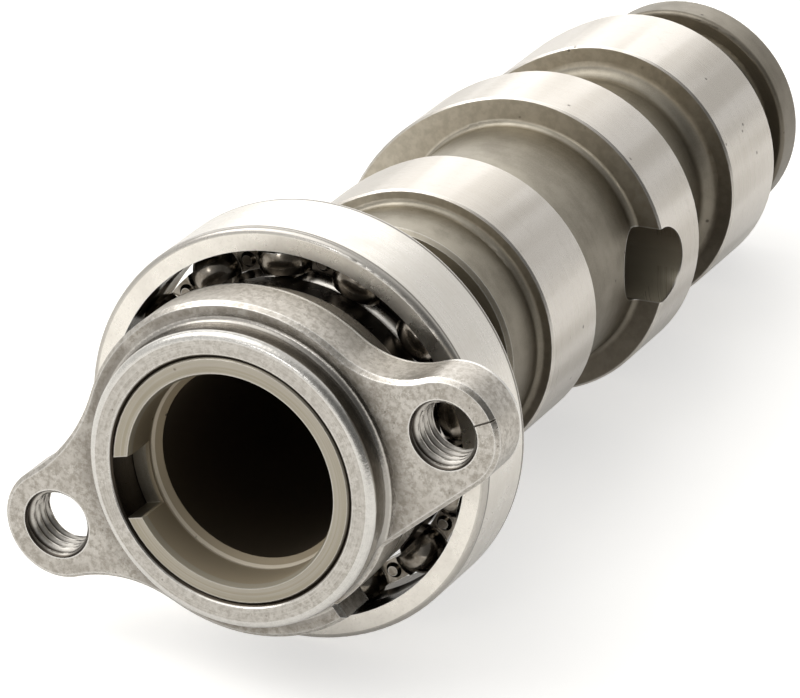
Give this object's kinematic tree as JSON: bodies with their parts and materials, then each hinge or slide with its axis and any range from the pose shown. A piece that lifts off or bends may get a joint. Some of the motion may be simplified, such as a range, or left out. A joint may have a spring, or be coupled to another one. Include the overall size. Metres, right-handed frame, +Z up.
{
  "type": "camshaft",
  "caption": "Overhead camshaft with ground cam lobes, a hollow drive end, a two-eared sprocket flange and an open ball bearing with a riveted cage.",
  "frame": {"origin": "on the shaft's axis, in the middle of the bearing's outer ring", "axes": "+Y along the shaft from the sprocket end to the far end, +Z up as the camshaft lies in the picture, +X to the right seen from the sprocket end"},
  "size_m": [0.0514, 0.1105, 0.042],
  "materials": {
    "shaft_steel": "ground",
    "flange_steel": "blasted",
    "bearing_steel": "ground",
    "cage_steel": "pressed",
    "ball_steel": "polished"
  },
  "bodies": {
    "shaft": {"camshaft": "shaft_steel", "sprocket_flange": "flange_steel", "bearing_inner_ring": "bearing_steel"},
    "outer_ring": {"bearing_outer_ring": "bearing_steel"},
    "cage": {"bearing_cage_front": "cage_steel", "bearing_cage_rear": "cage_steel", "cage_rivets": "cage_steel"},
    "ball_01_body": {"ball_01": "ball_steel"},
    "ball_02_body": {"ball_02": "ball_steel"},
    "ball_03_body": {"ball_03": "ball_steel"},
    "ball_04_body": {"ball_04": "ball_steel"},
    "ball_05_body": {"ball_05": "ball_steel"},
    "ball_06_body": {"ball_06": "ball_steel"},
    "ball_07_body": {"ball_07": "ball_steel"},
    "ball_08_body": {"ball_08": "ball_steel"},
    "ball_09_body": {"ball_09": "ball_steel"},
    "ball_10_body": {"ball_10": "ball_steel"},
    "ball_11_body": {"ball_11": "ball_steel"},
    "ball_12_body": {"ball_12": "ball_steel"},
    "ball_13_body": {"ball_13": "ball_steel"}
  },
  "joints": [
    {"name": "outer_ring_spin", "type": "hinge", "parent": "shaft", "child": "outer_ring", "pos_m": [0, 0, 0], "axis": [0, 1, 0], "continuous": true},
    {"name": "cage_spin", "type": "hinge", "parent": "shaft", "child": "cage", "pos_m": [0, 0, 0], "axis": [0, 1, 0], "continuous": true},
    {"name": "ball_01_spin", "type": "hinge", "parent": "cage", "child": "ball_01_body", "pos_m": [-0.00262, 0, 0.01654], "axis": [0, 1, 0], "continuous": true},
    {"name": "ball_02_spin", "type": "hinge", "parent": "cage", "child": "ball_02_body", "pos_m": [0.00537, 0, 0.01587], "axis": [0, 1, 0], "continuous": true},
    {"name": "ball_03_spin", "type": "hinge", "parent": "cage", "child": "ball_03_body", "pos_m": [0.01213, 0, 0.01155], "axis": [0, 1, 0], "continuous": true},
    {"name": "ball_04_spin", "type": "hinge", "parent": "cage", "child": "ball_04_body", "pos_m": [0.01611, 0, 0.0046], "axis": [0, 1, 0], "continuous": true},
    {"name": "ball_05_spin", "type": "hinge", "parent": "cage", "child": "ball_05_body", "pos_m": [0.0164, 0, -0.00342], "axis": [0, 1, 0], "continuous": true},
    {"name": "ball_06_spin", "type": "hinge", "parent": "cage", "child": "ball_06_body", "pos_m": [0.01293, 0, -0.01065], "axis": [0, 1, 0], "continuous": true},
    {"name": "ball_07_spin", "type": "hinge", "parent": "cage", "child": "ball_07_body", "pos_m": [0.0065, 0, -0.01544], "axis": [0, 1, 0], "continuous": true},
    {"name": "ball_08_spin", "type": "hinge", "parent": "cage", "child": "ball_08_body", "pos_m": [-0.00142, 0, -0.01669], "axis": [0, 1, 0], "continuous": true},
    {"name": "ball_09_spin", "type": "hinge", "parent": "cage", "child": "ball_09_body", "pos_m": [-0.00901, 0, -0.01412], "axis": [0, 1, 0], "continuous": true},
    {"name": "ball_10_spin", "type": "hinge", "parent": "cage", "child": "ball_10_body", "pos_m": [-0.01454, 0, -0.00832], "axis": [0, 1, 0], "continuous": true},
    {"name": "ball_11_spin", "type": "hinge", "parent": "cage", "child": "ball_11_body", "pos_m": [-0.01674, 0, -0.00061], "axis": [0, 1, 0], "continuous": true},
    {"name": "ball_12_spin", "type": "hinge", "parent": "cage", "child": "ball_12_body", "pos_m": [-0.0151, 0, 0.00724], "axis": [0, 1, 0], "continuous": true},
    {"name": "ball_13_spin", "type": "hinge", "parent": "cage", "child": "ball_13_body", "pos_m": [-0.01001, 0, 0.01343], "axis": [0, 1, 0], "continuous": true}
  ],
  "couplings": [
    {"joint": "cage_spin", "follows": "outer_ring_spin", "ratio": 0.57105},
    {"joint": "ball_01_spin", "follows": "outer_ring_spin", "ratio": 3.4479},
    {"joint": "ball_02_spin", "follows": "outer_ring_spin", "ratio": 3.4479},
    {"joint": "ball_03_spin", "follows": "outer_ring_spin", "ratio": 3.4479},
    {"joint": "ball_04_spin", "follows": "outer_ring_spin", "ratio": 3.4479},
    {"joint": "ball_05_spin", "follows": "outer_ring_spin", "ratio": 3.4479},
    {"joint": "ball_06_spin", "follows": "outer_ring_spin", "ratio": 3.4479},
    {"joint": "ball_07_spin", "follows": "outer_ring_spin", "ratio": 3.4479},
    {"joint": "ball_08_spin", "follows": "outer_ring_spin", "ratio": 3.4479},
    {"joint": "ball_09_spin", "follows": "outer_ring_spin", "ratio": 3.4479},
    {"joint": "ball_10_spin", "follows": "outer_ring_spin", "ratio": 3.4479},
    {"joint": "ball_11_spin", "follows": "outer_ring_spin", "ratio": 3.4479},
    {"joint": "ball_12_spin", "follows": "outer_ring_spin", "ratio": 3.4479},
    {"joint": "ball_13_spin", "follows": "outer_ring_spin", "ratio": 3.4479}
  ]
}
